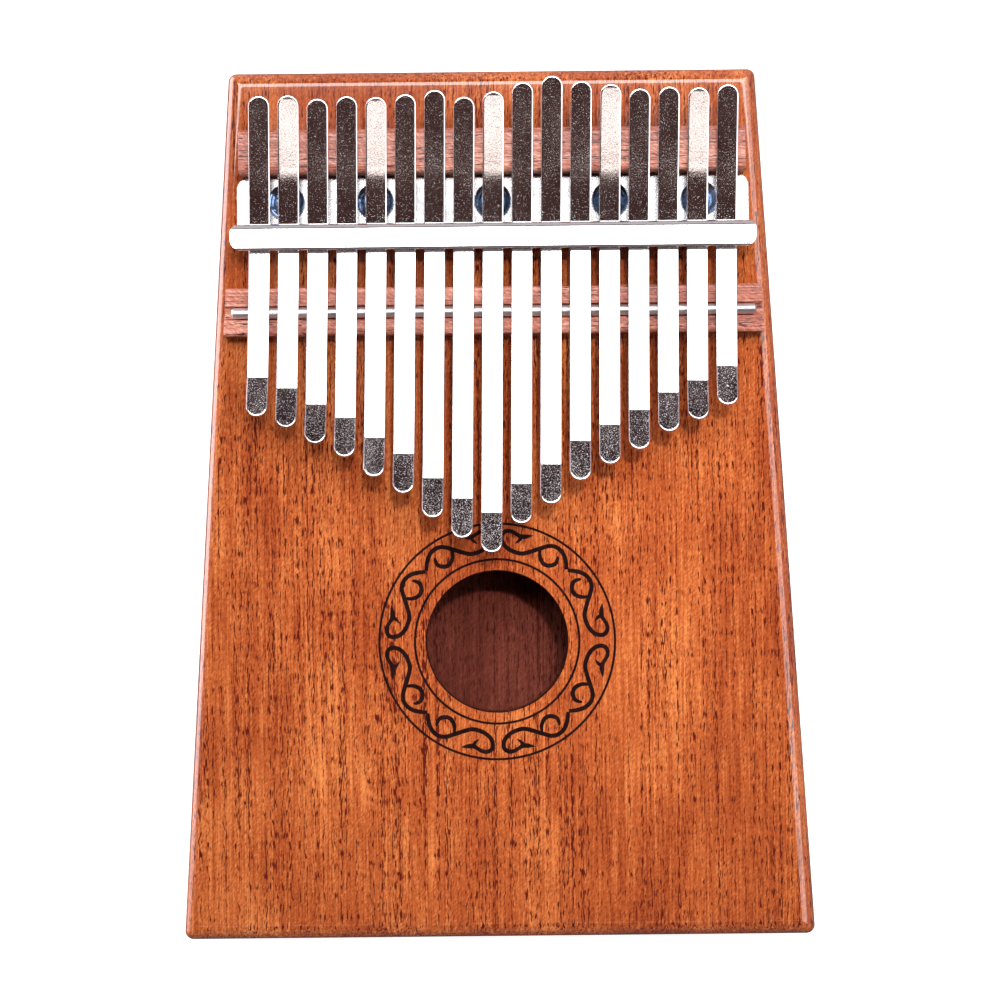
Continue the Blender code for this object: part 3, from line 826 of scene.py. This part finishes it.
def strip_stations(tip_along, tail_along):
    """Distances at which a strip gets a section: close together where it bends."""
    radius = TINE_WIDTH / 2
    crease = tip_along + TIP_LENGTH
    start, end = tip_along + radius, tail_along - radius
    stations = [start] + [crease + offset for offset in CREASE_SECTIONS]
    reach = crease + STRAIGHT_SPACING
    while reach < STRAIGHT_END:
        stations.append(reach)
        reach += STRAIGHT_SPACING
    bend_steps = 40
    stations += [REST_DISTANCE * step / bend_steps for step in range(bend_steps + 1)]
    stations += [REST_DISTANCE + (end - REST_DISTANCE) * step / 4 for step in range(1, 5)]
    return stations


def strip_outline(stations, inset):
    """A strip seen from above, pulled in all round: up its right side, and back down its left."""
    half = TINE_WIDTH / 2 - inset
    turns = 10
    right = [(half, along) for along in stations]
    top = arc((0, stations[-1]), half, 0, pi, 2 * turns)[1:-1]
    left = [(-half, along) for along in reversed(stations)]
    bottom = arc((0, stations[0]), half, pi, TAU, 2 * turns)[1:-1]
    return right + top + left + bottom


def tine_layers():
    """(inset, height over the middle) round a tine's section, from its back to its face. The face has
    a ground chamfer with a softened edge on each side."""
    half = TINE_THICKNESS / 2
    layers = []
    for step in range(4):
        angle = pi / 2 * step / 3
        layers.append((BACK_EDGE_RADIUS * (1 - sin(angle)), -half + BACK_EDGE_RADIUS * (1 - cos(angle))))
    chamfer_end = Vector((CHAMFER_INSET, half))
    chamfer_start = chamfer_end - Vector((CHAMFER_WIDTH, CHAMFER_WIDTH * tan(CHAMFER_TILT)))
    radius = chamfer_start.x / (1 - sin(CHAMFER_TILT))
    centre = chamfer_start + radius * Vector((sin(CHAMFER_TILT), -cos(CHAMFER_TILT)))
    for step in range(6):
        angle = (pi / 2 - CHAMFER_TILT) * step / 5
        layers.append((centre.x - radius * cos(angle), centre.y + radius * sin(angle)))
    radius = CHAMFER_SOFTENING / tan(CHAMFER_TILT / 2)
    centre = chamfer_end + Vector((CHAMFER_SOFTENING, -radius))
    for step in range(5):
        angle = CHAMFER_TILT * (1 - step / 4)
        layers.append((centre.x - radius * sin(angle), centre.y + radius * cos(angle)))
    return layers


def make_tine(number, steels):
    """One spring strip from tail to tip, which bends where it bears on the rod. Its forged tip has a
    material of its own."""
    joint = JOINTS[f"tine_{number:02d}_pluck"]
    pivot = Vector(joint["pos_m"])
    tip_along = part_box(f"tine_{number:02d}_reed")[0].y - pivot.y
    tail_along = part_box(f"tine_{number:02d}_tail")[1].y - pivot.y
    stations = strip_stations(tip_along, tail_along)
    steeper = STEEPER if number in STEEP_TINES else 0
    bm = bmesh.new()
    loops = []
    for inset, height in tine_layers():
        ring = []
        for across, along in strip_outline(stations, inset):
            slope = strip_slope(along, tip_along, steeper)
            y = along - sin(slope) * height
            z = strip_height(along, tip_along, steeper) + cos(slope) * height
            ring.append(bm.verts.new((across, y, z)))
        loops.append(ring)
    for low, high in zip(loops, loops[1:]):
        for i, corner in enumerate(low):
            j = (i + 1) % len(low)
            bm.faces.new((corner, low[j], high[j], high[i]))
    for ring in (loops[0], loops[-1]):
        cap_strip(bm, ring, len(stations))
    crease = tip_along + TIP_LENGTH
    for face in bm.faces:
        face.material_index = int(face.calc_center_median().y < crease)
    tine = add_object(f"tine_{number:02d}", bm, steels)
    tine.location = pivot
    tine.rotation_euler.z = TINE_SKEW
    shade(tine, 50)
    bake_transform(tine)
    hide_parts(f"tine_{number:02d}_tail", f"tine_{number:02d}_reed")


def cap_strip(bm, ring, sides):
    """Closes a strip's outline with faces that run straight across it."""
    count = len(ring)
    turns = (count - 2 * sides) // 2
    middle = sides + turns // 2  # the point at the very end of the tail
    left, right = middle - 1, middle + 1
    bm.faces.new((ring[left], ring[middle], ring[right]))
    while (left - right) % count != 2:
        next_left, next_right = (left - 1) % count, (right + 1) % count
        bm.faces.new((ring[left], ring[right], ring[next_right], ring[next_left]))
        left, right = next_left, next_right
    bm.faces.new((ring[left], ring[right], ring[(right + 1) % count]))


# ---------------------------------------------------------------- rosette


def ring_band(bm, radius, half, z_low, z_high, segments=192):
    """A closed flat ring round the sound hole."""
    inner, outer = radius - half, radius + half
    section = ((inner, z_low), (outer, z_low), (outer, z_high), (inner, z_high))
    loops = [[bm.verts.new((x, y + SOUND_HOLE_Y, z)) for x, y in circle(r, segments)] for r, z in section]
    for k, low in enumerate(loops):
        high = loops[(k + 1) % len(loops)]
        for i in range(segments):
            j = (i + 1) % segments
            bm.faces.new((low[i], low[j], high[j], high[i]))


def ribbon(bm, line, halves, z_low, z_high):
    """A closed flat stroke along a line, with its own half width at each point."""
    sides = ([], [])
    for i, (x, y) in enumerate(line):
        before, after = line[max(i - 1, 0)], line[min(i + 1, len(line) - 1)]
        along = Vector((after[0] - before[0], after[1] - before[1])).normalized()
        out = Vector((-along.y, along.x)) * halves[i]
        sides[0].append((x + out.x, y + out.y))
        sides[1].append((x - out.x, y - out.y))
    outline = sides[0] + sides[1][::-1]
    bottom = [bm.verts.new((x, y, z_low)) for x, y in outline]
    top = [bm.verts.new((x, y, z_high)) for x, y in outline]
    count = len(outline)
    for i in range(count):
        j = (i + 1) % count
        bm.faces.new((bottom[i], bottom[j], top[j], top[i]))
    for layer in (bottom, top):
        for i in range(len(line) - 1):
            bm.faces.new((layer[i], layer[i + 1], layer[count - 2 - i], layer[count - 1 - i]))


def catmull_rom(p, q, r, s, t):
    """A value a share t of the way from q to r, on a curve that also heeds p and s."""
    bend = 2 * p - 5 * q + 4 * r - s
    twist = 3 * q - p - 3 * r + s
    return 0.5 * (2 * q + (r - p) * t + bend * t**2 + twist * t**3)


def smooth_line(points, steps=7):
    """A smooth curve through points."""
    ends = [points[0]] + list(points) + [points[-1]]
    line = []
    for knots in zip(ends, ends[1:], ends[2:], ends[3:]):
        for step in range(steps):
            line.append(tuple(catmull_rom(*values, step / steps) for values in zip(*knots)))
    line.append(tuple(points[-1]))
    return line


def scroll_strokes():
    """The strokes of one eighth of the scroll, as (angle in degrees, radius in mm) lines and their
    half widths: a wave between the two rings that hooks back into a leaf, a curl under its crest, and a
    spur on the leaf."""
    wave = [(44.6, 21.3), (41, 22.5), (37.3, 23.4), (33.2, 23.7), (29.4, 23.2), (25.4, 21.8), (21, 20.4)]
    wave += [(15.8, 19.4), (9.2, 19.6), (4.7, 20.6), (3, 21.9), (3.5, 23), (5.7, 23.6), (8.3, 23.6)]
    wave += [(10.9, 23.2), (13.3, 22.9), (16.2, 23.2), (19.4, 23.8)]
    curl = [(25.6, 21.6), (27.4, 20.2), (31, 19.3), (34.8, 19.5), (37.3, 20.6), (36.7, 21.8), (35.8, 22.2)]
    spur = [(13.4, 22.7), (12.8, 22), (11, 21.2)]
    return (
        (wave, (0.40,) + (0.46,) * 12 + (0.43, 0.40, 0.50, 0.46, 0.05)),
        (curl, (0.30, 0.42, 0.46, 0.46, 0.44, 0.34, 0.16)),
        (spur, (0.42, 0.34, 0.08)),
    )


def make_rosette(burnt):
    """Two fine rings and a scroll between them, scorched into the face round the sound hole."""
    bm = bmesh.new()
    sunk = BODY_TOP - ROSETTE_PROUD
    for radius in ROSETTE_RADII:
        ring_band(bm, radius, ROSETTE_LINE, sunk, BODY_TOP + ROSETTE_PROUD)
    for order, (points, halves) in enumerate(scroll_strokes()):
        polar = smooth_line(points)
        widths = [w[0] * MM for w in smooth_line([(h,) for h in halves])]
        top = BODY_TOP + ROSETTE_PROUD - ROSETTE_STEP * order
        for quarter in range(ROSETTE_QUARTERS):
            for side in (-1, 1):
                line = []
                for degrees_off, radius in polar:
                    angle = radians(90 * quarter + side * degrees_off)
                    line.append((radius * MM * sin(angle), SOUND_HOLE_Y + radius * MM * cos(angle)))
                ribbon(bm, line, widths, sunk, top)
    rosette = add_object("rosette", bm, (burnt,))
    finish_piece(rosette, "root", "body_wood")


# ---------------------------------------------------------------- stage, light and camera


def set_colours():
    """Plain sRGB, so that a white card shows white."""
    bpy.context.scene.view_settings.view_transform = "Standard"


def make_camera():
    """A camera straight over the face, a little off its middle and slightly turned."""
    data = bpy.data.cameras.new("camera")
    data.sensor_width = SENSOR
    data.lens = SENSOR * CAMERA_HEIGHT / PICTURE_SIDE
    data.clip_start = 0.01
    data.clip_end = 50
    camera = bpy.data.objects.new("camera", data)
    camera.location = (*CAMERA_PLACE, BODY_TOP + CAMERA_HEIGHT)
    camera.rotation_euler.z = CAMERA_TURN
    bpy.context.scene.collection.objects.link(camera)
    bpy.context.scene.camera = camera


def add_panel(name, across, along, radiance, colour=WHITE):
    """A level rectangular light overhead, which shows in reflections but not to the camera. It spans
    two pairs of angles from straight up: towards +X, and towards +Y."""
    left, right, tail, head = (LIGHT_HEIGHT * tan(radians(angle)) for angle in (*across, *along))
    data = bpy.data.lights.new(name, "AREA")
    data.shape = "RECTANGLE"
    data.size, data.size_y = right - left, head - tail
    data.energy = radiance * data.size * data.size_y * pi
    data.color = colour
    panel = bpy.data.objects.new(name, data)
    panel.location = ((left + right) / 2, (tail + head) / 2, BODY_TOP + LIGHT_HEIGHT)
    panel.visible_camera = False
    bpy.context.scene.collection.objects.link(panel)


def make_lights():
    """A wide softbox leaning in from the head end, a smaller one on the right, a warm card towards the
    tail end, which shows in the steeper tails, and a beam that brightens the middle of the face."""
    add_panel("head_softbox", across=(-33, 33), along=(10.2, 34), radiance=6.5)
    add_panel("right_softbox", across=(19, 60), along=(-20, 36), radiance=2.6)
    add_panel("warm_card", across=(-12, 12), along=(-13.9, -11.5), radiance=2.0, colour=WARM)
    data = bpy.data.lights.new("beam", "SPOT")
    data.energy = BEAM_POWER
    data.spot_size = BEAM_SIZE
    data.spot_blend = 1
    data.shadow_soft_size = BEAM_SOFTNESS
    beam = bpy.data.objects.new("beam", data)
    beam.location = (*BEAM_PLACE, BODY_TOP + LIGHT_HEIGHT)
    aim = Vector((*BEAM_AIM, BODY_TOP)) - beam.location
    beam.rotation_euler = aim.to_track_quat("-Z", "Y").to_euler()
    beam.visible_glossy = False
    bpy.context.scene.collection.objects.link(beam)


def make_world():
    """A dim room: dark brown above the instrument, paler low down, with a bright wall low on the left."""
    world = bpy.data.worlds.new("room")
    world.use_nodes = True
    tree = world.node_tree
    background = tree.nodes["Background"]
    direction = add_node(tree, "TexCoord").outputs["Generated"]
    parts = add_node(tree, "SeparateXYZ", {"Vector": direction})
    up, right, head = parts.outputs["Z"], parts.outputs["X"], parts.outputs["Y"]
    low_down = spread(tree, up, 0.68, 0.52)
    colour = mix(tree, low_down, CEILING, WALLS)
    room = spread(tree, head, -0.6, 0.7, 0.20, 0.55)
    room = maths(tree, "MULTIPLY", room, spread(tree, up, -0.95, -0.55, 0.1, 1.0))
    wall = spread(tree, right, -0.42, -0.62)  # how much of the bright wall a direction sees
    edges = ((head, -0.13, 0.0), (up, 0.17, 0.07), (up, -0.66, -0.50))  # its near end, top and foot
    for value, none, full in edges:
        wall = maths(tree, "MULTIPLY", wall, spread(tree, value, none, full))
    room = maths(tree, "ADD", room, maths(tree, "MULTIPLY", wall, WALL_RADIANCE))
    strength = spread(tree, low_down, 0.0, 1.0, 1.0, room)
    tree.links.new(colour, background.inputs["Color"])
    tree.links.new(strength, background.inputs["Strength"])
    bpy.context.scene.world = world


def add_backdrop(name, bm, material_name, roughness, grey, glow):
    """A piece of the stage that glows white over a grey of its own. It lights and shades nothing, and
    shows in no reflection."""
    material, _, shader = new_material(material_name, {"Roughness": roughness})
    shader.inputs["Base Color"].default_value = (grey, grey, grey, 1)
    shader.inputs["Emission Color"].default_value = (*WHITE, 1)
    shader.inputs["Emission Strength"].default_value = glow
    backdrop = add_object(name, bm, (material,))
    backdrop.visible_glossy = False
    backdrop.visible_diffuse = False
    backdrop.visible_shadow = False
    return backdrop


def make_stage():
    """A pale floor, and a white surround that only the camera sees."""
    bm = bmesh.new()
    bmesh.ops.create_grid(bm, x_segments=1, y_segments=1, size=FLOOR_HALF_SIZE)
    floor = add_backdrop("floor", bm, "pale_floor", roughness=0.9, grey=0.55, glow=0.85)
    bm = bmesh.new()
    bmesh.ops.create_uvsphere(bm, u_segments=32, v_segments=16, radius=SURROUND_RADIUS)
    surround = add_backdrop("surround", bm, "white_surround", roughness=1.0, grey=0.0, glow=1.1)
    surround.visible_transmission = False


def make_woods():
    """Lacquered body wood, raw body wood darkened with painted shade for the hollow, and the bridges'
    wood.
    """
    lacquer = {"Roughness": 0.55, "Specular IOR Level": 0.05}
    lacquer.update({"Coat Weight": 1.0, "Coat Roughness": 0.055, "Coat IOR": 1.75})
    dull = {"Roughness": 0.75, "Specular IOR Level": 0.1}
    satin = {"Roughness": 0.22, "Specular IOR Level": 0.6}
    lacquer_tones = (LACQUER_DARK, LACQUER_MIDDLE, LACQUER_LIGHT)
    # the raw tones carry painted shade for the inside of the body
    raw_and_shade_tones = (RAW_AND_SHADE_DARK, RAW_AND_SHADE_MIDDLE, RAW_AND_SHADE_LIGHT)
    bridge_tones = (BRIDGE_DARK, BRIDGE_MIDDLE, BRIDGE_LIGHT)
    return (
        make_wood("lacquered_mahogany", lacquer_tones, LACQUER_PORE, lacquer),
        make_wood("raw_mahogany", raw_and_shade_tones, RAW_AND_SHADE_PORE, dull),
        make_wood("bridge_wood", bridge_tones, BRIDGE_PORE, satin, axis="X", pore_share=0.63),
    )


def make_metals():
    """Chrome, ground rod steel, blue zinc, and the tines' plated and forged steel."""
    worn_below = 34 * MM  # between the bracket's base and its lip
    return (
        make_metal(
            "chrome",
            CHROME,
            roughness=0.13,
            peel_depth=0.002 * MM,
            dents=(0.05 * MM, 200),
            worn_below=worn_below,
        ),
        make_metal("ground_steel", GROUND_STEEL, roughness=0.38, peel_depth=0.003 * MM),
        make_metal("blue_zinc", BLUE_ZINC, roughness=0.2, peel_depth=0.004 * MM),
        make_metal(
            "plated_spring_steel",
            SPRING_STEEL,
            roughness=0.085,
            peel_depth=0.006 * MM,
            dents=(0.003 * MM, 600),
            pitting=0.21,
        ),
        make_metal(
            "forged_spring_steel",
            FORGED_STEEL,
            roughness=0.11,
            peel_depth=0.016 * MM,
            dents=(0.035 * MM, 750),
            pitting=0.35,
        ),
    )


def main():
    """Makes the materials, then the pieces from the body up, and then the setting."""
    lacquer, raw_and_shade, bridge_wood = make_woods()
    burnt = make_burnt("scorched_wood")
    chrome, rod_steel, zinc, spring_steel, forged_steel = make_metals()
    set_colours()
    make_camera()
    make_body_shell(lacquer, raw_and_shade, burnt)
    make_back_plate(lacquer, raw_and_shade)
    make_bridges(bridge_wood)
    make_rod(rod_steel)
    make_bracket(chrome)
    make_screws(zinc)
    for number in range(1, TINE_COUNT + 1):
        make_tine(number, (spring_steel, forged_steel))
    make_rosette(burnt)
    make_world()
    make_lights()
    make_stage()


main()
